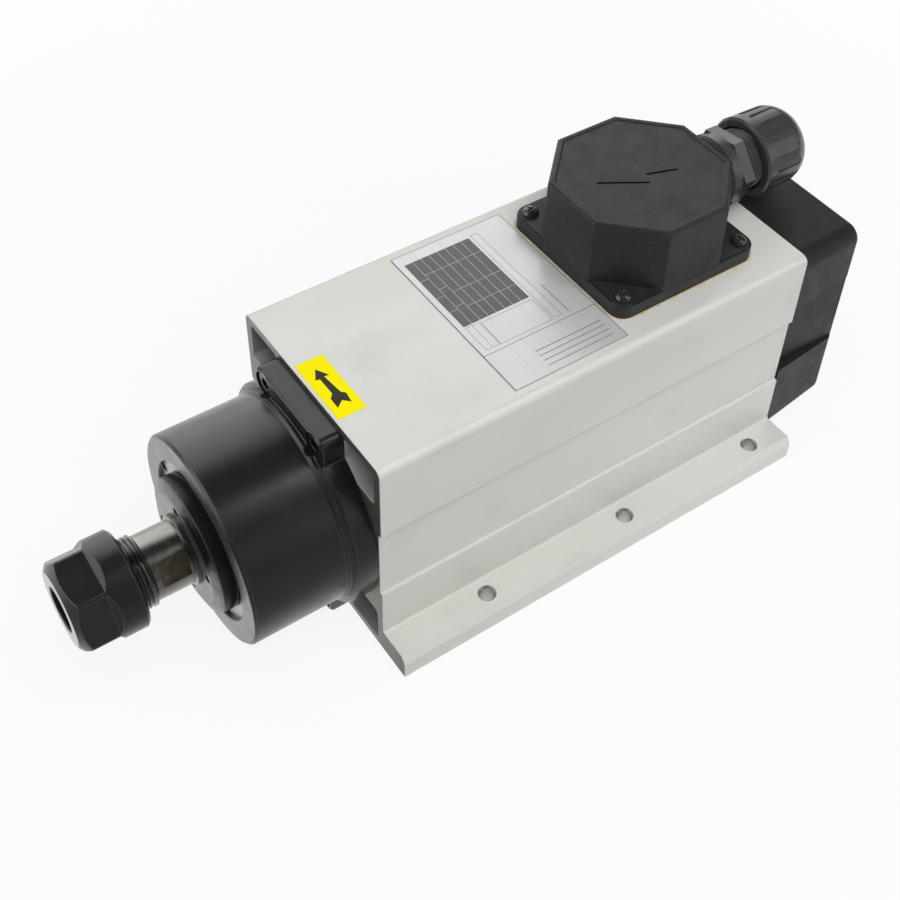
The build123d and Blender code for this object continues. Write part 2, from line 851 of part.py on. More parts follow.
# Fan
with BuildPart() as fan:
    with BuildSketch(station(fan_start)):
        Circle(fan_hub_radius)
    extrude(amount=-fan_width)
    with BuildSketch(station(fan_start)):
        Circle(0.72 * fan_radius)
    extrude(amount=-blade_thickness)
    with BuildSketch(station(fan_start)):
        with PolarLocations((fan_radius + fan_hub_radius) / 2 - 0.5, fan_blades):
            Rectangle(fan_radius - fan_hub_radius + 1, blade_thickness)
    extrude(amount=-(fan_width - 1))
    with BuildSketch(station(fan_start)):
        Circle(tail_radius + seat_fit)
    extrude(amount=-fan_width, mode=Mode.SUBTRACT)
save(fan.part, "cooling_fan")

# Circlip, open at one side
with BuildPart() as circlip:
    with BuildSketch(station(circlip_start)):
        Circle(circlip_radius)
        Circle(tail_radius - circlip_depth + seat_fit, mode=Mode.SUBTRACT)
        with Locations((0, -circlip_radius)):
            Rectangle(circlip_opening, circlip_radius, mode=Mode.SUBTRACT)
    extrude(amount=-circlip_thickness)
save(circlip.part, "circlip")


def cover_section(along, inset, wall):
    """Rounded section of the fan cover, narrower by inset and wall."""
    width = body_width - 2 * (cover_side_inset + inset + wall)
    top = body_height - cover_top_inset - inset - wall
    bottom = cover_bottom_inset + inset + wall
    with BuildSketch(station(along, 0)) as section:
        with Locations((0, (top + bottom) / 2)):
            RectangleRounded(width, top - bottom, cover_corner - wall)
    return section.sketch


# Room inside the fan cover
cover_start = body_length + cover_gap
cover_end = cover_start + cover_length
with BuildPart() as cover_room:
    room_ends = [
        cover_section(cover_start, 0, cover_wall),
        cover_section(cover_end - cover_wall, cover_taper, cover_wall),
    ]
    loft(room_ends)
    for side in (-1, 1):
        with BuildSketch(station(cover_start, 0)):
            with Locations((side * half_width, band_z)):
                reach = 2 * (half_width - band_x + cover_band_depth + cover_wall)
                Rectangle(reach, cover_band_height + 2 * cover_wall)
        extrude(amount=-cover_length, mode=Mode.SUBTRACT)

# Fan cover
with BuildPart() as fan_cover:
    loft([cover_section(cover_start, 0, 0), cover_section(cover_end, cover_taper, 0)])
    fillet(fan_cover.faces().sort_by(Axis.Y)[-1].edges(), cover_edge)
    for side in (-1, 1):
        with BuildSketch(station(cover_start, 0)):
            with Locations((side * half_width, band_z)):
                reach = 2 * (half_width - band_x + cover_band_depth)
                Rectangle(reach, cover_band_height)
        extrude(amount=-cover_length, mode=Mode.SUBTRACT)
    add(cover_room.part, mode=Mode.SUBTRACT)
    # Posts for the cover screws
    with BuildSketch(station(body_length + bracket_thickness)):
        for angle in (cover_screw_angle, 180 - cover_screw_angle):
            with PolarLocations(cover_screw_circle, 2, start_angle=angle):
                Circle(cover_post_radius)
    extrude(amount=-(cover_length - bracket_thickness))
    with Locations(Plane(origin=(0, front_y + cover_end, axis_height), x_dir=(-1, 0, 0), z_dir=(0, 1, 0))):
        for angle in (cover_screw_angle, 180 - cover_screw_angle):
            with PolarLocations(cover_screw_circle, 2, start_angle=angle):
                CounterSinkHole(cover_screw_radius + 0.3, cover_screw_head + 0.2, counter_sink_angle=90)
    # Grille of level slots inside a circle
    with BuildSketch(station(cover_end + 1)) as grille:
        Circle(grille_radius)
        bars = int(grille_radius / (grille_slot + grille_bar))
        for row in range(-bars, bars + 1):
            with Locations((0, (row + 0.5) * (grille_slot + grille_bar))):
                Rectangle(2 * grille_radius, grille_bar, mode=Mode.SUBTRACT)
        Rectangle(grille_bar, 2 * grille_radius, mode=Mode.SUBTRACT)
    extrude(amount=cover_wall + 2, mode=Mode.SUBTRACT)
save(fan_cover.part, "fan_cover")

# Countersunk screws of the fan cover
with BuildPart() as cover_screws:
    head_depth = cover_screw_head - cover_screw_radius
    with BuildSketch(station(cover_end)):
        for angle in (cover_screw_angle, 180 - cover_screw_angle):
            with PolarLocations(cover_screw_circle, 2, start_angle=angle):
                Circle(cover_screw_head)
    extrude(amount=head_depth, taper=45)
    with BuildSketch(station(cover_end)):
        for angle in (cover_screw_angle, 180 - cover_screw_angle):
            with PolarLocations(cover_screw_circle, 2, start_angle=angle):
                Circle(cover_screw_radius)
    extrude(amount=cover_end - body_length - 1)
save(cover_screws.part, "fan_cover_screws")

# Gasket under the terminal box
with BuildPart() as box_gasket:
    with BuildSketch(Plane.XY.offset(body_height)):
        with Locations((0, box_y)):
            RectangleRounded(box_side, box_side, box_corner)
            RegularPolygon(box_side / 2 - box_wall, 8, major_radius=False, rotation=22.5, mode=Mode.SUBTRACT)
            with GridLocations(box_screw_pitch, box_screw_pitch, 2, 2):
                Circle(box_screw_radius + 0.2, mode=Mode.SUBTRACT)
    extrude(amount=gasket_thickness)
save(box_gasket.part, "box_gasket")


def octagon(height, inset):
    """Regular octagon of the terminal box, smaller by inset on each side."""
    with BuildSketch(Plane.XY.offset(height)) as outline:
        with Locations((0, box_y)):
            RegularPolygon(box_side / 2 - inset, 8, major_radius=False, rotation=22.5)
    return outline.sketch


# Terminal box: square plate with an octagonal tower
box_base = body_height + gasket_thickness
with BuildPart() as terminal_box:
    with BuildSketch(Plane.XY.offset(box_base)) as plate:
        with Locations((0, box_y)):
            RectangleRounded(box_side, box_side, box_corner)
    extrude(amount=box_plate)
    chamfer(terminal_box.faces().sort_by(Axis.Z)[-1].edges(), 0.5)
    loft([octagon(box_base, 0.01), octagon(box_top, box_draft)])
    chamfer(terminal_box.faces().sort_by(Axis.Z)[-1].edges(), box_edge)
    extrude(octagon(box_top, box_draft + box_rim), amount=-box_panel_depth, mode=Mode.SUBTRACT)
    loft(
        [octagon(box_base, box_wall), octagon(box_top - box_wall, box_wall + box_draft)],
        mode=Mode.SUBTRACT,
    )
    with BuildSketch(Plane.XY.offset(box_base)):
        with Locations((0, box_y)):
            with GridLocations(box_screw_pitch, box_screw_pitch, 2, 2):
                Circle(box_screw_radius + 0.2)
    extrude(amount=box_plate, mode=Mode.SUBTRACT)
    with BuildSketch(gland_station(box_wall)):
        Circle(gland_thread + seat_fit)
    extrude(amount=3 * box_wall, mode=Mode.SUBTRACT)
    # Flat pads that the gland's washer and locknut lie on
    with BuildSketch(gland_station(0)):
        Circle(washer_radius)
        Circle(gland_thread + seat_fit, mode=Mode.SUBTRACT)
    extrude(amount=box_wall)
    with BuildSketch(gland_station(-box_wall)):
        Circle(locknut_across / 2)
        Circle(gland_thread + seat_fit, mode=Mode.SUBTRACT)
    extrude(amount=locknut_pad)
save(terminal_box.part, "terminal_box")

# Pan head screws of the terminal box
with BuildPart() as box_screws:
    screw_seat = box_base + box_plate
    with BuildSketch(Plane.XY.offset(screw_seat)):
        with Locations((0, box_y)):
            with GridLocations(box_screw_pitch, box_screw_pitch, 2, 2):
                Circle(box_screw_head)
    extrude(amount=box_screw_head_height)
    chamfer(box_screws.faces().sort_by(Axis.Z)[-4:].edges(), 0.3 * box_screw_head_height)
    with BuildSketch(Plane.XY.offset(screw_seat)):
        with Locations((0, box_y)):
            with GridLocations(box_screw_pitch, box_screw_pitch, 2, 2):
                Circle(box_screw_radius)
    extrude(amount=-(box_plate + gasket_thickness + box_screw_grip))
save(box_screws.part, "terminal_box_screws")

# Terminal block with its screws
block_y = box_y - block_offset
with BuildPart() as terminal_block:
    with BuildSketch(Plane.XY.offset(body_height)):
        with Locations((0, block_y)):
            Rectangle(block_length, block_width)
    extrude(amount=block_height)
    block_top = Plane.XY.offset(body_height + block_height)
    with BuildSketch(block_top):
        with Locations((0, block_y)):
            with GridLocations(block_pitch, 1, block_screws - 1, 1):
                Rectangle(1.2, block_width)
    extrude(amount=2.0)
    with BuildSketch(block_top):
        with Locations((0, block_y)):
            with GridLocations(block_pitch, 1, block_screws, 1):
                Circle(block_screw_radius)
    extrude(amount=-0.6 * block_height, mode=Mode.SUBTRACT)
save(terminal_block.part, "terminal_block")

with BuildPart() as block_screw_set:
    with BuildSketch(block_top.offset(-0.5 * block_height)):
        with Locations((0, block_y)):
            with GridLocations(block_pitch, 1, block_screws, 1):
                Circle(block_screw_radius - seat_fit)
    extrude(amount=0.5 * block_height + 0.8)
    with BuildSketch(block_top.offset(0.8)):
        with Locations((0, block_y)):
            with GridLocations(block_pitch, 1, block_screws, 1):
                Rectangle(0.6, 2 * block_screw_radius)
    extrude(amount=-0.8, mode=Mode.SUBTRACT)
save(block_screw_set.part, "terminal_screws")

# Cable gland, from the inside out
locknut_start = -box_wall - locknut_pad - locknut_length
with BuildPart() as gland_locknut:
    with BuildSketch(gland_station(locknut_start)):
        RegularPolygon(locknut_across / 2, 6, major_radius=False)
        Circle(gland_thread + seat_fit, mode=Mode.SUBTRACT)
    extrude(amount=-locknut_length)
save(gland_locknut.part, "gland_locknut")

washer_outline = tube(0, washer_thickness, gland_thread + seat_fit, washer_radius)
save(turned(washer_outline, gland_plane, gland_axis), "gland_washer")

collar_start = washer_thickness
hex_start = collar_start + gland_collar_length
tube_start = hex_start + gland_hex_length
tube_end = tube_start + gland_tube_length
with BuildPart() as gland_body:
    with BuildSketch(gland_station(hex_start)):
        RegularPolygon(gland_across / 2, 6, major_radius=False, rotation=gland_turn)
    extrude(amount=-gland_hex_length)
    with BuildSketch(gland_plane):
        with BuildLine():
            Polyline(
                (-gland_inner_length, 0),
                (-gland_inner_length, gland_thread - 0.8),
                (0.8 - gland_inner_length, gland_thread),
                (collar_start, gland_thread),
                (collar_start, gland_collar_radius - 0.5),
                (collar_start + 0.5, gland_collar_radius),
                (hex_start, gland_collar_radius),
                (hex_start, gland_tube_radius),
                (tube_end - 0.8, gland_tube_radius),
                (tube_end, gland_tube_radius - 0.8),
                (tube_end, 0),
                close=True,
            )
        make_face()
    revolve(axis=gland_axis)
    seal_seat = tube_end - seal_depth - cap_travel - 0.5
    with BuildSketch(gland_plane):
        with BuildLine():
            Polyline(
                (-gland_inner_length, 0),
                (-gland_inner_length, gland_bore),
                (seal_seat, gland_bore),
                (seal_seat, gland_seal_bore),
                (tube_end, gland_seal_bore),
                (tube_end, 0),
                close=True,
            )
        make_face()
    revolve(axis=gland_axis, mode=Mode.SUBTRACT)
save(gland_body.part, "gland_body")

# Rubber seal, carried by the cap
cap_start = tube_start + cap_gap
cap_end = cap_start + cap_length
seal_start = tube_end - seal_depth
seal_end = seal_start + seal_length
with BuildPart() as gland_seal:
    with BuildSketch(gland_plane):
        with BuildLine():
            Polyline(
                (seal_start, seal_hole),
                (seal_start, seal_radius - 0.8),
                (seal_start + 1.6, seal_radius),
                (seal_end - 3, seal_radius),
                (seal_end, seal_radius - 2.0),
                (seal_end, seal_hole),
                close=True,
            )
        make_face()
    revolve(axis=gland_axis)
save(gland_seal.part, "gland_seal")

# Domed cap nut with flutes


def cap_side(angle):
    """Plane on the cap's round side, facing out, in the middle of a flute."""
    out = Vector(cos(radians(angle)), 0, sin(radians(angle)))
    middle = Vector(0, gland_y + cap_start + flute_start + flute_length / 2, gland_z)
    return Plane(origin=middle + out * cap_radius, x_dir=(0, 1, 0), z_dir=out)


with BuildPart() as gland_cap:
    dome_start = cap_end - cap_dome
    inner_end = seal_end - 3
    skirt_end = tube_end + cap_travel + 0.5
    with BuildSketch(gland_plane):
        with BuildLine():
            shell = Polyline(
                (cap_start, cap_radius - 0.8),
                (cap_start + 0.8, cap_radius),
                (dome_start, cap_radius - 0.5),
            )
            RadiusArc(shell @ 1, (cap_end, cap_nose_radius), 1.35 * cap_dome)
            Polyline(
                (cap_end, cap_nose_radius),
                (cap_end, cap_hole),
                (seal_end + 0.1, cap_hole),
                (seal_end + 0.1, seal_radius - 2.0 + run_fit),
                (inner_end + 0.1, seal_radius + run_fit),
                (skirt_end, seal_radius + run_fit),
                (skirt_end, cap_bore),
                (cap_start, cap_bore),
                (cap_start, cap_radius - 0.8),
            )
        make_face()
    revolve(axis=gland_axis)
    with BuildSketch(*[cap_side(k * 360 / cap_flutes + flute_angle) for k in range(cap_flutes)]):
        SlotOverall(flute_length, flute_width)
    extrude(amount=-flute_depth, mode=Mode.SUBTRACT)
save(gland_cap.part, "gland_cap")

# Plates on the top face
with BuildPart() as rating_plate:
    with BuildSketch(Plane.XY.offset(body_height)):
        with Locations((0, front_y + plate_start + plate_length / 2)):
            RectangleRounded(plate_width, plate_length, 1.0)
    extrude(amount=plate_thickness)
save(rating_plate.part, "rating_plate")

with BuildPart() as arrow_sticker:
    with BuildSketch(Plane.XY.offset(body_height)):
        with Locations((sticker_shift, front_y + sticker_start + sticker_length / 2)):
            RectangleRounded(sticker_width, sticker_length, 0.3)
    extrude(amount=sticker_thickness)
save(arrow_sticker.part, "arrow_sticker")
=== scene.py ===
import json
from math import cos, hypot, pi, sin, tau

import bmesh
import bpy
from mathutils import Matrix, Vector


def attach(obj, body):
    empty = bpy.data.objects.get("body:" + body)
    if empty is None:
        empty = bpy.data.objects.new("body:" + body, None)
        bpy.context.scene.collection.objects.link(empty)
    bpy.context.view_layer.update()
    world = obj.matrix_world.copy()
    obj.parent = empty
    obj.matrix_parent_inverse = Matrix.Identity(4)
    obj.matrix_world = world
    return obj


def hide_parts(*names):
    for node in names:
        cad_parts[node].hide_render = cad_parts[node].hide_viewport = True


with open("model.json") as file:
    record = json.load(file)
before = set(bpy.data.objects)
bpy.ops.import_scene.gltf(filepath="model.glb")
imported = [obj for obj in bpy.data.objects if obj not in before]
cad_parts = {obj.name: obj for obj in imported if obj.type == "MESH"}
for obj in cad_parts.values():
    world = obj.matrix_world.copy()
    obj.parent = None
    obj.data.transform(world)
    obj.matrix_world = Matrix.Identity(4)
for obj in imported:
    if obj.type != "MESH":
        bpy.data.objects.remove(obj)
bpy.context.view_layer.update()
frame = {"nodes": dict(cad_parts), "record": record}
nodes = frame["nodes"]
mm = 0.001
scene = bpy.context.scene

# Places in the part's frame, in millimetres
FRONT, REAR = -101.0, 78.0      # end faces of the body
AXIS = 47.0                     # height of the shaft's axis
BODY_TOP = 94.0
STICKER_TOP = 94.15
PLATE_TOP = 94.3
LID_TOP = 124.2
BOX_Y = 31.5                    # middle of the terminal box
BOX_HALF = 31.0
BOX_CORNER = 5.5
BOX_SCREW = 26.0                # screws of the box beside its middle
BOX_SEAT = 99.8
GLAND_Z = 110.3
CHANNEL_SIDE = 38.6             # inner faces of the body's open channels
CHANNEL_LOW, CHANNEL_HIGH = 2.6, 90.8
FOOT_HOLE_X, FOOT_HOLE_PITCH, FOOT_HOLE_MOUTH = 48.5, 62.2, 3.37
FLAT_REACH, FLAT_TURN = 10.5, 29.6      # spanner flats: distance to the axis, turn in degrees
FLAT_FRONT, FLAT_BACK = FRONT - 61.7, FRONT - 51.8
THREAD_FRONT, THREAD_BACK = FRONT - 83.0, FRONT - 64.4
THREAD_RADIUS = 12.5
TUBE_FRONT, TUBE_BACK, TUBE_RADIUS = 74.1, 86.3, 11.4
THREAD_PITCH = 1.5
NOSE_FRONT = -144.0             # the flat faces in front of this that point forward get a painted sheen
NUT_FRONT = -192.86             # the nut's face in front of this is ground bare


# ---------------------------------------------------------------- materials
class Nodes:
    """Short ways to add nodes to one node tree."""

    def __init__(self, tree):
        self.tree = tree

    def put(self, socket, value):
        if isinstance(value, bpy.types.NodeSocket):
            self.tree.links.new(value, socket)
        elif socket.type == "RGBA":
            socket.default_value = (*value, 1.0)
        else:
            socket.default_value = value

    def node(self, kind, **inputs):
        made = self.tree.nodes.new("ShaderNode" + kind)
        for key, value in inputs.items():
            self.put(made.inputs[key], value)
        return made

    def filled(self, kind, operation, *values):
        made = self.node(kind)
        made.operation = operation
        for socket, value in zip(made.inputs, values):
            self.put(socket, value)
        return made.outputs

    def math(self, operation, *values):
        return self.filled("Math", operation, *values)[0]

    def dot(self, a, b):
        return self.filled("VectorMath", "DOT_PRODUCT", a, b)["Value"]

    def ramp(self, value, low, high, start=0.0, end=1.0, smooth=False):
        made = self.node("MapRange", Value=value)
        if smooth:
            made.interpolation_type = "SMOOTHSTEP"
        for key, number in zip(("From Min", "From Max", "To Min", "To Max"), (low, high, start, end)):
            self.put(made.inputs[key], number)
        return made.outputs[0]

    def blend(self, share, a, b):
        """Number a at share 0, b at share 1."""
        made = self.node("Mix")
        for place, value in ((0, share), (2, a), (3, b)):
            self.put(made.inputs[place], value)
        return made.outputs[0]

    def mix(self, share, a, b):
        """Colour a at share 0, b at share 1."""
        made = self.node("Mix")
        made.data_type = "RGBA"
        for place, value in ((0, share), (6, a), (7, b)):
            self.put(made.inputs[place], value)
        return made.outputs[2]


class Finish(Nodes):
    """A node material whose pattern is fixed to the object's own place and size."""

    def __init__(self, name, rough=0.5, metal=0.0, specular=0.5, coat=0.0, coat_rough=0.2, edge=0.25):
        self.mat = bpy.data.materials.new(name)
        self.mat.use_nodes = True
        super().__init__(self.mat.node_tree)
        self.bsdf = self.tree.nodes["Principled BSDF"]
        self.set("Metallic", metal)
        self.set("Roughness", rough)
        self.set("Specular IOR Level", specular)
        self.set("Coat Weight", coat)
        self.set("Coat Roughness", coat_rough)
        self.coords = self.node("TexCoord").outputs["Object"]
        self.x, self.y, self.z = self.node("SeparateXYZ", Vector=self.coords).outputs
        worn = self.node("Bevel", Radius=edge * mm)
        worn.samples = 4
        self.normal = self.rounded = worn.outputs[0]
        self.set("Normal", self.normal)

    def set(self, key, value):
        self.put(self.bsdf.inputs[key], value)

    def noise(self, size, stretch=(1, 1, 1), detail=2.0):
        """Noise from 0 to 1 whose spots are about size millimetres."""
        scale = tuple(s / (size * mm) for s in stretch)
        scaled = self.filled("VectorMath", "MULTIPLY", self.coords, scale)[0]
        made = self.node("TexNoise", Vector=scaled, Scale=1.0, Detail=detail, Roughness=0.55)
        return made.outputs["Fac"]

    def bump(self, height, depth, strength=1.0):
        """Relief: height 0 to 1 stands for depth millimetres."""
        made = self.node("Bump", Height=height, Strength=strength, Distance=depth * mm, Normal=self.normal)
        self.normal = made.outputs[0]
        self.set("Normal", self.normal)

    def below(self, value, limit):
        return self.math("LESS_THAN", value, limit * mm)

    def above(self, value, limit):
        return self.math("GREATER_THAN", value, limit * mm)

    def both(self, a, b):
        return self.math("MULTIPLY", a, b)

    def either(self, a, b):
        return self.math("MAXIMUM", a, b)

    def length(self, a, b):
        return self.math("SQRT", self.math("ADD", self.both(a, a), self.both(b, b)))

    def radius(self):
        """Distance from the shaft's axis."""
        return self.length(self.x, self.math("SUBTRACT", self.z, AXIS * mm))

    def edges(self):
        """1 on the edges and 0 on the open faces."""
        flat = self.dot(self.rounded, self.node("NewGeometry").outputs["Normal"])
        return self.ramp(flat, 0.93, 0.998, 1.0, 0.0)

    def grooves(self, value, pitch):
        """Turning marks: 0 to 1 along value, one mark each pitch millimetres."""
        wobble = self.math("MULTIPLY_ADD", self.noise(6.0), 0.00004, value)
        wave = self.math("SINE", self.math("MULTIPLY", wobble, tau / (pitch * mm)))
        return self.math("MULTIPLY_ADD", wave, 0.5, 0.5)


def srgb(r, g, b):
    """Linear colour from 0-255 values."""
    return tuple((v / 255 / 12.92) if v <= 10 else ((v / 255 + 0.055) / 1.055) ** 2.4 for v in (r, g, b))


def anodised():
    f = Finish("anodised_aluminium", rough=0.42, metal=0.12)
    cloud = f.ramp(f.noise(60.0, (1, 0.35, 1)), 0.35, 0.7)
    base = f.mix(cloud, (0.72, 0.72, 0.695), (0.675, 0.67, 0.625))
    streak = f.ramp(f.noise(0.9, (1, 0.012, 1), 3.0), 0.3, 0.75, 0.0, 0.06)
    base = f.mix(streak, base, (0.48, 0.47, 0.42))
    smudge = f.ramp(f.noise(22.0, (1, 0.7, 1), 4.0), 0.56, 0.76, 0.0, 0.20)
    base = f.mix(smudge, base, (0.47, 0.445, 0.37))
    speck = f.ramp(f.noise(1.1, detail=1.0), 0.80, 0.84, 0.0, 0.6)
    base = f.mix(speck, base, (0.25, 0.24, 0.21))
    # sawn ends
    sawn = f.either(f.below(f.y, FRONT + 0.02), f.above(f.y, REAR - 0.02))
    marks = f.noise(1.6, (0.35, 1, 2.2), 4.0)
    cut = f.mix(f.ramp(marks, 0.3, 0.7), (0.23, 0.23, 0.21), (0.34, 0.34, 0.31))
    base = f.mix(sawn, base, cut)
    # inside of the channels: darker, partly for the duller metal there and partly painted shade of the deep
    # recess
    inside_z = f.both(f.below(f.z, CHANNEL_HIGH), f.above(f.z, CHANNEL_LOW))
    channel_dull_and_shade = f.both(f.below(f.math("ABSOLUTE", f.x), CHANNEL_SIDE), inside_z)
    channel_dull_and_shade = f.both(channel_dull_and_shade, f.math("SUBTRACT", 1.0, sawn))
    base = f.mix(f.math("MULTIPLY", channel_dull_and_shade, 0.75), base, (0.24, 0.252, 0.256))
    # machined foot holes
    hole_x = f.math("SUBTRACT", f.math("ABSOLUTE", f.x), FOOT_HOLE_X * mm)
    turns = f.math("ROUND", f.math("DIVIDE", f.y, FOOT_HOLE_PITCH * mm))
    hole_y = f.math("SUBTRACT", f.y, f.math("MULTIPLY", turns, FOOT_HOLE_PITCH * mm))
    hole = f.below(f.length(hole_x, hole_y), FOOT_HOLE_MOUTH)
    f.set("Base Color", f.mix(hole, base, (0.62, 0.61, 0.57)))
    f.set("Roughness", f.blend(sawn, f.ramp(f.noise(12.0, (1, 0.2, 1), 4.0), 0.3, 0.75, 0.34, 0.48), 0.5))
    f.set("Metallic", f.blend(f.either(hole, sawn), 0.12, 0.85))
    f.bump(f.noise(0.45), 0.006, 0.6)
    f.bump(f.noise(0.7, (1, 0.02, 1)), 0.002, 0.4)
    f.bump(f.both(sawn, marks), 0.06, 0.7)
    return f.mat


def black_oxide(name, base=0.0065, rough=0.33, turned=0.0, mottled=0.3, specular=0.5, front=None, bare=None):
    """Blackened steel with rubbed edges; flat faces that point forward, in front of the given place, get a
    painted sheen; all before bare is ground.
    """
    f = Finish(name, rough=rough, specular=specular, coat=0.45, coat_rough=0.22, edge=0.42)
    dark = (base, base * 1.01, base * 1.03)
    light = (base * 1.9,) * 3
    shade = f.mix(f.ramp(f.noise(14.0, detail=4.0), 0.35, 0.75, 0.0, mottled), dark, light)
    nicks = f.ramp(f.noise(0.8, detail=3.0), 0.70, 0.80, 0.0, 0.3)
    shade = f.mix(nicks, shade, (0.06, 0.058, 0.053))
    metal = f.math("MULTIPLY", f.edges(), 0.7)
    if front is not None:
        # forward-facing flat faces are painted lighter and partly metallic: a painted sheen
        facing = f.node("SeparateXYZ", Vector=f.node("NewGeometry").outputs["True Normal"]).outputs[1]
        painted_sheen_faces = f.both(f.math("LESS_THAN", facing, -0.97), f.below(f.y, front))
        metal = f.either(metal, f.math("MULTIPLY", painted_sheen_faces, 0.42))
    shade = f.mix(metal, shade, (0.30, 0.30, 0.29))
    if bare is not None:
        ground = f.below(f.y, bare)
        shade = f.mix(ground, shade, (0.50, 0.50, 0.49))
        metal = f.either(metal, f.math("MULTIPLY", ground, 0.9))
    f.set("Metallic", metal)
    f.set("Base Color", shade)
    f.set("Roughness", f.ramp(f.noise(9.0, detail=5.0), 0.3, 0.7, rough - 0.05, rough + 0.08))
    f.bump(f.noise(0.5, detail=3.0), 0.008, 0.4)
    if turned:
        f.bump(f.grooves(f.y, turned), 0.003, 0.4)
        f.bump(f.grooves(f.radius(), turned), 0.003, 0.4)
    return f.mat


def steel(name, base, rough=0.3, turned=0.3, tint=(1, 1, 1), stain=0.25):
    f = Finish(name, rough=rough, metal=1.0)
    bright = tuple(base * t for t in tint)
    dull = tuple(base * 0.62 * t for t in tint)
    f.set("Base Color", f.mix(f.ramp(f.noise(3.5, (1, 0.4, 1), 4.0), 0.45, 0.75, 0.0, stain), bright, dull))
    f.set("Roughness", f.ramp(f.noise(4.0, detail=4.0), 0.3, 0.7, rough - 0.06, rough + 0.10))
    if turned:
        f.bump(f.grooves(f.y, turned), 0.004, 0.7)
        f.bump(f.grooves(f.radius(), turned), 0.004, 0.7)
    f.bump(f.noise(0.4), 0.003, 0.4)
    return f.mat


def plastic(name, base, rough=0.5, grain=0.5, depth=0.03, specular=0.5, speck=0.0):
    f = Finish(name, rough=rough, specular=specular)
    shade = f.mix(f.ramp(f.noise(25.0, detail=3.0), 0.3, 0.75), base, tuple(v * 1.25 for v in base))
    if speck:
        dust = f.ramp(f.noise(0.55, detail=1.0), 0.66, 0.80, 0.0, speck)
        shade = f.mix(dust, shade, (0.22, 0.22, 0.21))
    f.set("Base Color", shade)
    f.set("Roughness", f.ramp(f.noise(7.0, detail=4.0), 0.3, 0.7, rough - 0.05, rough + 0.08))
    f.bump(f.noise(grain, detail=3.0), depth, 0.6)
    return f.mat


def printed_foil():
    f = Finish("rating_foil", rough=0.36, metal=0.35)
    brush = f.noise(0.35, (0.03, 1, 1), 3.0)
    f.set("Base Color", f.mix(f.ramp(brush, 0.3, 0.7), (0.65, 0.66, 0.665), (0.71, 0.715, 0.715)))
    f.set("Roughness", f.ramp(f.noise(15.0, detail=3.0), 0.3, 0.7, 0.32, 0.42))
    f.bump(brush, 0.002, 0.4)
    return f.mat


def flat_ink(name, base, rough=0.4, spread=0.25, specular=0.15):
    f = Finish(name, rough=rough, specular=specular)
    patches = f.ramp(f.noise(3.0, detail=3.0), 0.3, 0.75, 0.0, spread)
    f.set("Base Color", f.mix(patches, base, tuple(v * 1.3 + 0.01 for v in base)))
    f.set("Roughness", f.ramp(f.noise(2.0), 0.3, 0.7, rough - 0.05, rough + 0.05))
    f.bump(f.noise(0.6), 0.003, 0.3)
    return f.mat


def copper_wire():
    f = Finish("copper_wire", rough=0.35, metal=0.6, coat=0.4)
    # the hollows between the turns are painted darker: painted shade
    wire = f.grooves(f.radius(), 0.8)
    f.set("Base Color", f.mix(wire, (0.16, 0.05, 0.015), (0.42, 0.16, 0.05)))
    f.bump(wire, 0.25, 0.8)
    return f.mat


def sheet_stack():
    f = Finish("sheet_stack", rough=0.42, metal=0.9)
    leaf = f.grooves(f.y, 0.5)
    f.set("Base Color", f.mix(leaf, (0.16, 0.16, 0.17), (0.34, 0.34, 0.35)))
    f.bump(leaf, 0.05, 0.7)
    return f.mat


def glue():
    f = Finish("old_glue", rough=0.3)
    patches = f.ramp(f.noise(4.0, detail=4.0), 0.3, 0.7)
    f.set("Base Color", f.mix(patches, (0.52, 0.45, 0.27), (0.66, 0.61, 0.44)))
    f.bump(f.noise(0.8, detail=3.0), 0.05, 0.7)
    return f.mat


def shaft_steel():
    """Bright turned shaft with browned spanner flats and thread roots painted darker as shade."""
    f = Finish("turned_shaft", rough=0.3, metal=1.0)
    patches = f.ramp(f.noise(6.0, (1, 0.5, 1), 4.0), 0.4, 0.8)
    shade = f.mix(patches, (0.31, 0.305, 0.29), (0.24, 0.235, 0.225))
    # on a flat the distance from the axis along the flat's normal is always FLAT_REACH
    turn = FLAT_TURN / 180 * pi
    rise = f.math("MULTIPLY", f.math("SUBTRACT", f.z, AXIS * mm), sin(turn))
    across = f.math("ABSOLUTE", f.math("ADD", f.math("MULTIPLY", f.x, cos(turn)), rise))
    on_flat = f.below(f.math("ABSOLUTE", f.math("SUBTRACT", across, FLAT_REACH * mm)), 0.05)
    on_flat = f.both(on_flat, f.both(f.below(f.y, FLAT_BACK), f.above(f.y, FLAT_FRONT)))
    brown = f.mix(f.ramp(f.noise(2.5, detail=5.0), 0.35, 0.7), (0.16, 0.135, 0.092), (0.27, 0.24, 0.185))
    shade = f.mix(on_flat, shade, brown)
    r = f.radius()
    # thread roots painted darker: painted shade in the grooves
    root_shade = f.both(f.below(r, THREAD_RADIUS - 0.4), f.above(r, THREAD_RADIUS - 1.05))
    root_shade = f.both(root_shade, f.below(f.y, THREAD_BACK + 0.1))
    shade = f.mix(f.math("MULTIPLY", root_shade, 0.55), shade, (0.10, 0.095, 0.085))
    f.set("Base Color", shade)
    f.set("Roughness", f.blend(on_flat, f.ramp(f.noise(3.0, detail=4.0), 0.3, 0.7, 0.19, 0.29), 0.5))
    f.bump(f.grooves(f.y, 0.5), 0.0015, 0.4)
    return f.mat


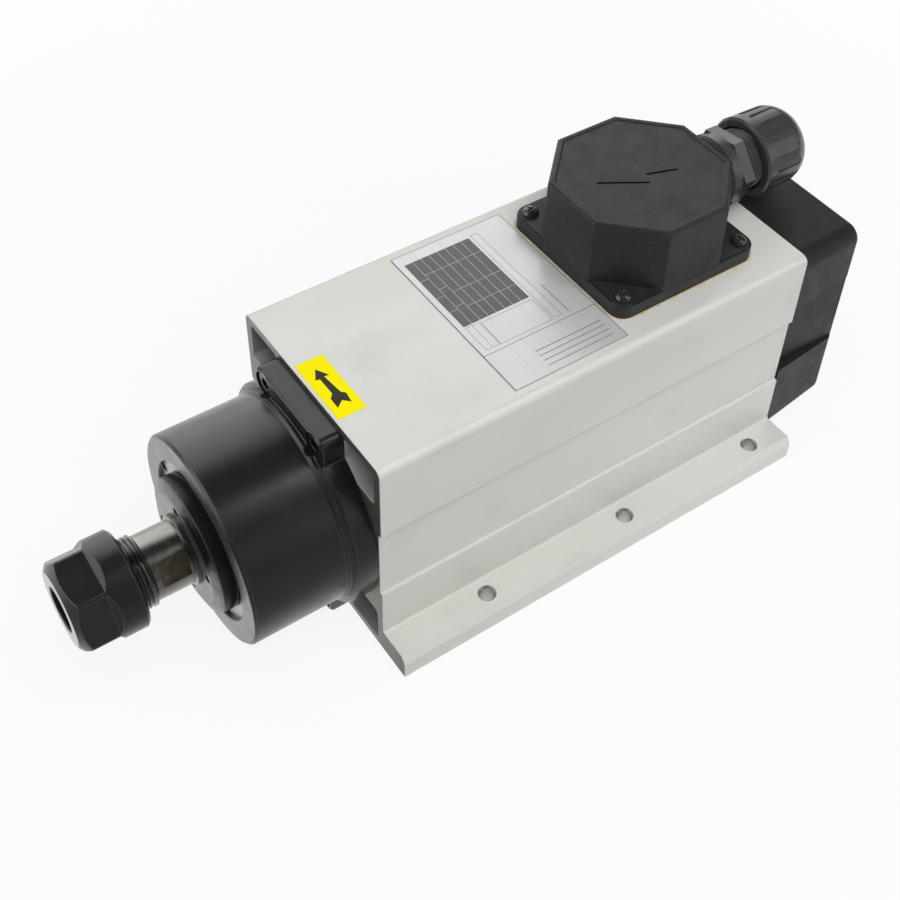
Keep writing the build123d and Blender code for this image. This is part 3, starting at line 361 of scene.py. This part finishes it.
MATERIALS = {
    "profile": anodised(),
    "black_steel": black_oxide("black_oxide_nose", turned=0.28, front=NOSE_FRONT),
    "nut_steel": black_oxide("black_oxide_nut", base=0.008, rough=0.36, mottled=0.1, bare=NUT_FRONT),
    "dark_screw": black_oxide("black_screw", base=0.006, rough=0.28),
    "box_screw": black_oxide("black_zinc_screw", base=0.016, rough=0.22, specular=1.0),
    "shaft": shaft_steel(),
    "grey_ring": steel("turned_grey", 0.52, rough=0.36),
    "bright_steel": steel("turned_bright", 0.56, rough=0.28),
    "collet_steel": steel("collet_steel", 0.5, rough=0.3),
    "bearing_steel": steel("ground_steel", 0.66, rough=0.14, turned=0.0, stain=0.1),
    "ball_steel": steel("polished_balls", 0.7, rough=0.08, turned=0.0, stain=0.0),
    "cast_aluminium": steel("cast_aluminium", 0.55, rough=0.5, turned=0.0),
    "cage_brass": steel("cage_brass", 0.6, rough=0.3, tint=(1.0, 0.75, 0.36)),
    "terminal_brass": steel("terminal_brass", 0.62, rough=0.3, tint=(1.0, 0.8, 0.45)),
    "laminations": sheet_stack(),
    "copper": copper_wire(),
    "cover_plastic": plastic("cover_plastic", (0.017, 0.017, 0.017), grain=0.7, specular=0.32),
    "box_plastic": plastic("box_plastic", (0.019, 0.019, 0.0185), rough=0.46, grain=0.8, depth=0.07,
                           speck=0.32, specular=0.42),
    "fan_plastic": plastic("fan_plastic", (0.05, 0.05, 0.052)),
    "gland_plastic": plastic("gland_plastic", (0.044, 0.044, 0.045), rough=0.25, grain=3.0, depth=0.01,
                             specular=0.75),
    "gland_rubber": plastic("gland_rubber", (0.016, 0.016, 0.016), rough=0.6),
    "gasket_rubber": plastic("gasket_rubber", (0.035, 0.034, 0.03), rough=0.6),
    "block_plastic": plastic("block_plastic", (0.62, 0.60, 0.52)),
    "plate": printed_foil(),
    "sticker": flat_ink("yellow_foil", srgb(255, 240, 0), spread=0.03),
    "ink": flat_ink("dark_ink", (0.10, 0.103, 0.106), rough=0.42, specular=0.5),
    "grey_line": flat_ink("grey_ink", (0.22, 0.22, 0.225)),
    "white_ink": flat_ink("white_ink", (0.55, 0.56, 0.57)),
    "black_ink": flat_ink("black_ink", (0.03, 0.027, 0.02)),
    # near-black for the lid's painted shadow lines
    "groove_shadow": flat_ink("painted_groove_shadow", (0.004, 0.004, 0.004), rough=0.6, specular=0.0),
    "glue": glue(),
}


def paint(piece, name):
    piece.data.materials.clear()
    piece.data.materials.append(MATERIALS[name])
    for face in piece.data.polygons:
        face.material_index = 0


slots = {part["node"]: part["material_slot"] for part in frame["record"]["subparts"]}
for name, node in nodes.items():
    paint(node, "shaft" if name == "spindle_shaft" else slots[name])

# ---------------------------------------------------------------- edges
ROUNDED = {
    "body_extrusion": 0.25, "front_housing": 0.15, "dust_disc": 0.2, "collet": 0.12, "collet_nut": 0.12,
    "terminal_box": 0.25,
}
CRISP = (
    "rear_bracket", "fan_cover", "box_gasket", "gland_washer", "gland_body", "gland_cap",
    "gland_locknut", "gland_seal", "cooling_fan", "terminal_block", "flange_screws",
    "front_retainer", "bracket_screws", "fan_cover_screws",
)
WELD = 2e-6                     # metres
SHARP = 28.0 / 180 * pi
NORMAL_WEIGHT = 80
CREASE = 0.42                   # radians; edges of the threaded pieces above this stay sharp


def soften(piece, width):
    """Small round edges, and shading that leaves the flat faces flat."""
    weld = piece.modifiers.new("weld", "WELD")
    weld.merge_threshold = WELD
    flat = piece.modifiers.new("flat", "DECIMATE")
    flat.decimate_type = "DISSOLVE"
    flat.angle_limit = 0.6 / 180 * pi
    edge = piece.modifiers.new("edge", "BEVEL")
    edge.width = width * mm
    edge.segments = 2
    edge.limit_method = "ANGLE"
    edge.angle_limit = SHARP
    edge.use_clamp_overlap = False
    edge.miter_outer = "MITER_ARC"
    shade = piece.modifiers.new("shade", "WEIGHTED_NORMAL")
    shade.weight = NORMAL_WEIGHT


def crisp(piece):
    """Smooth round faces that end at the edges; for thin and pierced pieces."""
    weld = piece.modifiers.new("weld", "WELD")
    weld.merge_threshold = WELD
    split = piece.modifiers.new("split", "EDGE_SPLIT")
    split.split_angle = SHARP
    split.use_edge_sharp = False


for name, width in ROUNDED.items():
    soften(nodes[name], width)
for name in CRISP:
    crisp(nodes[name])


# ---------------------------------------------------------------- new pieces
def linked(name, mesh):
    made = bpy.data.objects.new(name, mesh)
    scene.collection.objects.link(made)
    return made


def mesh_from(name, vertices, faces):
    """Mesh from points in millimetres."""
    mesh = bpy.data.meshes.new(name)
    mesh.from_pydata([tuple(c * mm for c in v) for v in vertices], [], faces)
    mesh.validate()
    mesh.update()
    return mesh


def dress(made, body, material, smooth=True):
    paint(made, material)
    for face in made.data.polygons:
        face.use_smooth = smooth
    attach(made, body)


class Print:
    """Thin printed marks on a flat top face; y counts from the body's front face."""

    def __init__(self, height):
        self.height, self.vertices, self.faces = height, [], []

    def polygon(self, points):
        first = len(self.vertices)
        self.vertices += [(x, FRONT + y, self.height) for x, y in points]
        self.faces.append(tuple(range(first, first + len(points))))

    def line(self, a, b, width):
        a, b = Vector(a), Vector(b)
        run = b - a
        side = Vector((-run.y, run.x)).normalized() * width / 2
        self.polygon([tuple(p) for p in (a - side, b - side, b + side, a + side)])

    def frame(self, x0, y0, x1, y1, width):
        self.line((x0, y0), (x1, y0), width)
        self.line((x0, y1), (x1, y1), width)
        self.line((x0, y0), (x0, y1), width)
        self.line((x1, y0), (x1, y1), width)

    def make(self, name, body, material):
        mesh = mesh_from(name, self.vertices, self.faces)
        dress(linked(name, mesh), body, material, smooth=False)


def rating_plate():
    """Rules, a dark table and empty fields."""
    bottom, top, left, right = 54.4, 100.4, -36.9, 36.9
    table_left, table_right = -32.0, 4.2
    table_rows = (56.8, 60.2, 63.55, 83.8)
    rules = Print(PLATE_TOP + 0.02)
    rules.frame(left, bottom, right, top, 0.2)
    rules.frame(-32.6, 85.0, 17.0, 88.0, 0.14)
    rules.frame(5.6, 62.8, 17.2, 84.0, 0.14)
    rules.frame(5.0, 57.0, 17.0, 62.4, 0.14)
    rules.line((5.0, 59.6), (17.0, 59.6), 0.14)
    rules.line((19.1, bottom), (19.1, top), 0.22)
    rules.make("plate_rules", "housing", "ink")
    table = Print(PLATE_TOP + 0.02)
    low, high = table_rows[0], table_rows[-1]
    table.polygon([(table_left, low), (table_right, low), (table_right, high), (table_left, high)])
    table.make("plate_table", "housing", "ink")
    grid = Print(PLATE_TOP + 0.04)
    for row in range(1, 8):
        y = low + 3.375 * row
        grid.line((table_left, y), (table_right, y), 0.16)
    columns = ((-22.0, -12.0, -4.0), (-24.0, -15.5, -5.5), (-24.0, -12.0, -3.6))
    for y0, y1, places in zip(table_rows, table_rows[1:], columns):
        for x in places:
            grid.line((x, y0), (x, y1), 0.16)
    grid.make("plate_grid", "housing", "white_ink")
    fields = Print(PLATE_TOP + 0.02)
    for x in (26.3, 28.7, 31.1, 33.6):
        fields.line((x, 70.0), (x, 97.0), 0.35)
    fields.line((1.6, 91.0), (17.2, 91.0), 0.35)
    fields.make("plate_fields", "housing", "grey_line")


def arrow_sticker():
    """An outlined arrow without words."""
    arrow = Print(STICKER_TOP + 0.02)
    arrow.polygon([
        (-6.12, 6.04), (-1.73, 8.64), (-1.88, 6.91), (6.67, 7.85), (7.93, 9.11), (12.25, 8.56),
        (9.97, 6.36), (12.17, 3.53), (7.61, 3.61), (5.89, 5.18), (-1.57, 5.1), (-1.81, 3.61)])
    arrow.make("sticker_arrow", "housing", "black_ink")


def lid_shadow_lines():
    # flat near-black strips on the lid stand for the shade lines of its shallow moulded mark: painted shadow
    # lines
    shadow_lines = Print(LID_TOP + 0.03)
    shadow_lines.line((-3.77, 116.1), (5.65, 131.5), 0.85)
    shadow_lines.line((1.57, 133.3), (5.18, 144.2), 0.85)
    shadow_lines.make("lid_shadow_lines", "housing", "groove_shadow")


def glue_bead():
    """Uneven line of old glue round the gasket."""
    half, corner, count = BOX_HALF, BOX_CORNER, 240
    profile = ((-0.3, 0.02), (0.0, 0.32), (0.6, 0.24), (1.1, 0.01))     # outwards, upwards
    vertices, faces = [], []
    for i in range(count):
        # a point that goes once round the square
        t = 8.0 * i / count
        side, u = int(t // 2) % 4, (t % 2) - 1
        x, y = u * half, -half
        for _ in range(side):
            x, y = -y, x
        # the corners are round
        cx = max(-half + corner, min(half - corner, x))
        cy = max(-half + corner, min(half - corner, y))
        away = Vector((x - cx, y - cy))
        if away.length > 1e-6 and abs(x) > half - corner and abs(y) > half - corner:
            away = away.normalized() * corner
            x, y = cx + away.x, cy + away.y
        out = Vector((x, y)).normalized()
        if abs(abs(x) - half) < 0.01:
            out = Vector((1 if x > 0 else -1, 0))
        elif abs(abs(y) - half) < 0.01:
            out = Vector((0, 1 if y > 0 else -1))
        wave = 0.75 + 0.35 * sin(i * 0.71) * sin(i * 0.23 + 1.0) + 0.2 * sin(i * 1.9)
        for reach, rise in profile:
            wide = reach * (wave if reach > 0 else 1.0)
            z = BODY_TOP + rise * (0.6 + 0.4 * wave)
            vertices.append((x + out.x * wide, BOX_Y + y + out.y * wide, z))
    rows = len(profile)
    for i in range(count):
        j = (i + 1) % count
        for k in range(rows - 1):
            faces.append((rows * i + k, rows * i + k + 1, rows * j + k + 1, rows * j + k))
    dress(linked("glue_bead", mesh_from("glue_bead", vertices, faces)), "housing", "glue")


def cross_cutter():
    """Tapered cross that cuts the recess of a screw head."""
    levels = ((0.75, 0.9, 0.238), (2.6, 2.1, 0.391))        # height, reach, half width
    vertices, faces = [], []
    for turn in (0, 1):
        first = len(vertices)
        for z, reach, half in levels:
            for x, y in ((-reach, -half), (reach, -half), (reach, half), (-reach, half)):
                vertices.append((x, y, z) if not turn else (-y, x, z))
        faces += [tuple(first + k for k in face) for face in
                  ((3, 2, 1, 0), (4, 5, 6, 7), (0, 1, 5, 4), (1, 2, 6, 5), (2, 3, 7, 6), (3, 0, 4, 7))]
    return mesh_from("cross", vertices, faces)


def pan_head_screws():
    """Four domed screws with a cross recess, standing for the plain ones of the box."""
    steps = 40
    outline = [(0.001, 2.2), (0.9, 2.15), (1.7, 1.92), (2.3, 1.54), (2.75, 1.0), (2.98, 0.45), (3.0, 0.0),
               (1.4, 0.0), (1.4, -5.0), (0.001, -5.0)]      # radius, height
    vertices = [(r * cos(tau * a / steps), r * sin(tau * a / steps), z)
                for r, z in outline for a in range(steps)]
    last = (len(outline) - 1) * steps
    faces = [(i + a, i + (a + 1) % steps, i + steps + (a + 1) % steps, i + steps + a)
             for i in range(0, last, steps) for a in range(steps)]
    faces += [tuple(reversed(range(steps))), tuple(range(last, last + steps))]
    solid = linked("head", mesh_from("head", vertices, faces))
    cutter = linked("cross", cross_cutter())
    cut = solid.modifiers.new("cut", "BOOLEAN")
    cut.operation = "DIFFERENCE"
    cut.object = cutter
    cut.solver = "EXACT"
    cut.use_self = True
    bpy.context.view_layer.update()
    graph = bpy.context.evaluated_depsgraph_get()
    shape = bpy.data.meshes.new_from_object(solid.evaluated_get(graph))
    bpy.data.objects.remove(solid)
    bpy.data.objects.remove(cutter)
    joined = bmesh.new()
    for n, (sx, sy) in enumerate(((-1, -1), (1, -1), (1, 1), (-1, 1))):
        place = Matrix.Translation((sx * BOX_SCREW * mm, (BOX_Y + sy * BOX_SCREW) * mm, BOX_SEAT * mm))
        copy = shape.copy()
        copy.transform(place @ Matrix.Rotation(0.35 + 1.9 * n, 4, "Z"))
        joined.from_mesh(copy)
    mesh = bpy.data.meshes.new("box_pan_screws")
    joined.to_mesh(mesh)
    joined.free()
    screws = linked("box_pan_screws", mesh)
    edge = screws.modifiers.new("edge", "BEVEL")
    edge.width = 0.07 * mm
    edge.segments = 2
    edge.limit_method = "ANGLE"
    edge.angle_limit = 35 / 180 * pi
    edge.use_clamp_overlap = False
    screws.modifiers.new("shade", "WEIGHTED_NORMAL")
    dress(screws, "housing", "box_screw")
    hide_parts("terminal_box_screws")


def threaded(node_name, new_name, body, material, axis_height, radius, start, end, depth):
    """The node with its plain thread surface swapped for a helical one."""
    height = axis_height * mm
    work = bmesh.new()
    work.from_mesh(nodes[node_name].data)
    plain = [face for face in work.faces
             if all(abs(hypot(v.co.x, v.co.z - height) - radius * mm) < 0.03 * mm for v in face.verts)
             and all((start - 0.05) * mm < v.co.y < (end + 0.05) * mm for v in face.verts)
             and abs(face.normal.y) < 0.2]
    bmesh.ops.delete(work, geom=plain, context="FACES")
    bmesh.ops.remove_doubles(work, verts=work.verts, dist=WELD)
    for edge in work.edges:
        if len(edge.link_faces) == 2 and edge.calc_face_angle() > CREASE:
            edge.smooth = False
    around, per_turn = 96, 10
    rows = int((end - start) / THREAD_PITCH * per_turn) + 1
    grid = []
    for i in range(rows + 1):
        y = start + (end - start) * i / rows
        fade = max(0.0, min(1.0, y - start, end - y))       # the thread runs out over 1 mm
        ring = []
        for a in range(around):
            angle = tau * a / around
            phase = (y / THREAD_PITCH + a / around) % 1.0
            valley = max(0.0, 1.0 - abs(phase - 0.5) * 2 / 0.86)
            r = (radius - depth * min(1.0, valley * 1.12) * fade) * mm
            ring.append(work.verts.new((r * cos(angle), y * mm, height + r * sin(angle))))
        grid.append(ring)
    for near, far in zip(grid, grid[1:]):
        for a in range(around):
            b = (a + 1) % around
            work.faces.new((near[a], far[a], far[b], near[b]))
    mesh = bpy.data.meshes.new(new_name)
    work.to_mesh(mesh)
    work.free()
    made = linked(new_name, mesh)
    shade = made.modifiers.new("shade", "WEIGHTED_NORMAL")
    shade.weight = NORMAL_WEIGHT
    shade.keep_sharp = True
    dress(made, body, material)
    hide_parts(node_name)


rating_plate()
arrow_sticker()
lid_shadow_lines()
glue_bead()
pan_head_screws()
threaded("spindle_shaft", "threaded_shaft", "shaft", "shaft",
         AXIS, THREAD_RADIUS, THREAD_FRONT, THREAD_BACK, 0.7)
threaded("gland_body", "threaded_gland", "housing", "gland_plastic",
         GLAND_Z, TUBE_RADIUS, TUBE_FRONT, TUBE_BACK, 0.8)

# ---------------------------------------------------------------- studio
# pale studio walls that show in shiny surfaces: direction, start and end of the fade, strength
WALLS = (
    ((-0.80, 0.30, 0.45), 0.74, 0.96, 1.60),
    ((-0.35, -0.88, 0.25), 0.80, 0.97, 1.60),
    ((0.75, 0.62, 0.25), 0.86, 0.98, 0.80),
)
DARK_ROOM = 0.05                # between the walls
FILL_LIGHT = 0.22               # plain light from all sides
FLOOR_SIZE, FLOOR_LEVEL = 40.0, -0.0004


def pale_floor():
    s, z = FLOOR_SIZE, FLOOR_LEVEL
    floor = bpy.data.meshes.new("floor")
    floor.from_pydata([(-s, -s, z), (s, -s, z), (s, s, z), (-s, s, z)], [], [(0, 1, 2, 3)])
    made = linked("floor", floor)
    mat = bpy.data.materials.new("pale_floor")
    mat.use_nodes = True
    f = Nodes(mat.node_tree)
    rays = f.node("LightPath").outputs
    mirrored = f.math("MAXIMUM", rays["Is Glossy Ray"], rays["Is Transmission Ray"])
    seen = f.math("MAXIMUM", rays["Is Camera Ray"], mirrored)
    place = f.node("TexCoord").outputs["Object"]
    # only the floor near the object keeps a shadow, farther out it is plain white
    reach = f.filled("VectorMath", "LENGTH", place)["Value"]
    share = f.math("MULTIPLY", seen, f.ramp(reach, 0.15, 0.55, 0.88, 1.0))
    # in reflections the floor is darker towards the near side
    near = f.ramp(f.dot(place, (0.85, -0.3, 0.0)), 0.05, 0.10, 1.0, 0.25)
    diffuse = f.node("BsdfDiffuse", Color=(0.78, 0.78, 0.77))
    glow = f.node("Emission", Color=(1, 1, 1), Strength=f.blend(rays["Is Camera Ray"], near, 1.0))
    mixed = f.node("MixShader")
    for socket, value in zip(mixed.inputs, (share, diffuse.outputs[0], glow.outputs[0])):
        f.put(socket, value)
    f.put(f.tree.nodes["Material Output"].inputs["Surface"], mixed.outputs[0])
    floor.materials.append(mat)


def studio_walls():
    world = bpy.data.worlds.new("studio")
    scene.world = world
    world.use_nodes = True
    w = Nodes(world.node_tree)
    place = w.node("TexCoord").outputs["Generated"]
    walls = DARK_ROOM
    for toward, low, high, strength in WALLS:
        facing = w.dot(place, Vector(toward).normalized())
        walls = w.math("ADD", w.ramp(facing, low, high, 0.0, strength, smooth=True), walls)
    rays = w.node("LightPath").outputs
    mirrored = w.math("MAXIMUM", rays["Is Glossy Ray"], rays["Is Transmission Ray"])
    light = w.blend(mirrored, FILL_LIGHT, walls)
    back = w.tree.nodes["Background"]
    w.put(back.inputs["Color"], (1, 1, 1))
    w.put(back.inputs["Strength"], w.blend(rays["Is Camera Ray"], light, 1.0))


def lamp(name, direction, distance, width, height, power, gloss=True):
    data = bpy.data.lights.new(name, "AREA")
    data.shape = "RECTANGLE"
    data.size, data.size_y = width, height
    data.energy = power
    made = linked(name, data)
    aim = Vector(direction).normalized()
    made.location = Vector((0.0, -0.02, 0.05)) + aim * distance
    made.rotation_euler = (-aim).to_track_quat("-Z", "Y").to_euler()
    made.visible_glossy = gloss


def photo_camera():
    """The photograph's own camera, worked out from the body's edges and the round faces of the nose."""
    camera = bpy.data.cameras.new("camera")
    camera.lens = 56.698
    camera.sensor_width = 36.0
    camera.shift_x = -0.02538
    camera.shift_y = -0.12859
    camera.clip_start = 0.01
    right = Vector((0.57216, 0.81957, 0.03069))
    down = Vector((0.58974, -0.38513, -0.70985))
    ahead = Vector((-0.56995, 0.42424, -0.70369))
    made = linked("camera", camera)
    made.matrix_world = Matrix((
        (right.x, -down.x, -ahead.x, 0.27510),
        (right.y, -down.y, -ahead.y, -0.24194),
        (right.z, -down.z, -ahead.z, 0.42345),
        (0, 0, 0, 1)))
    return made


pale_floor()
studio_walls()
lamp("key", (0.46, 0.35, 0.84), 1.5, 0.28, 0.70, 2.0)
lamp("high_right", (0.45, -0.14, 0.885), 1.8, 1.4, 1.4, 24.5, gloss=False)
lamp("top", (-0.1, 0.1, 1.0), 1.8, 1.6, 1.6, 3.0, gloss=False)
bpy.context.scene.camera = photo_camera()
bpy.context.scene.view_settings.view_transform = "Standard"
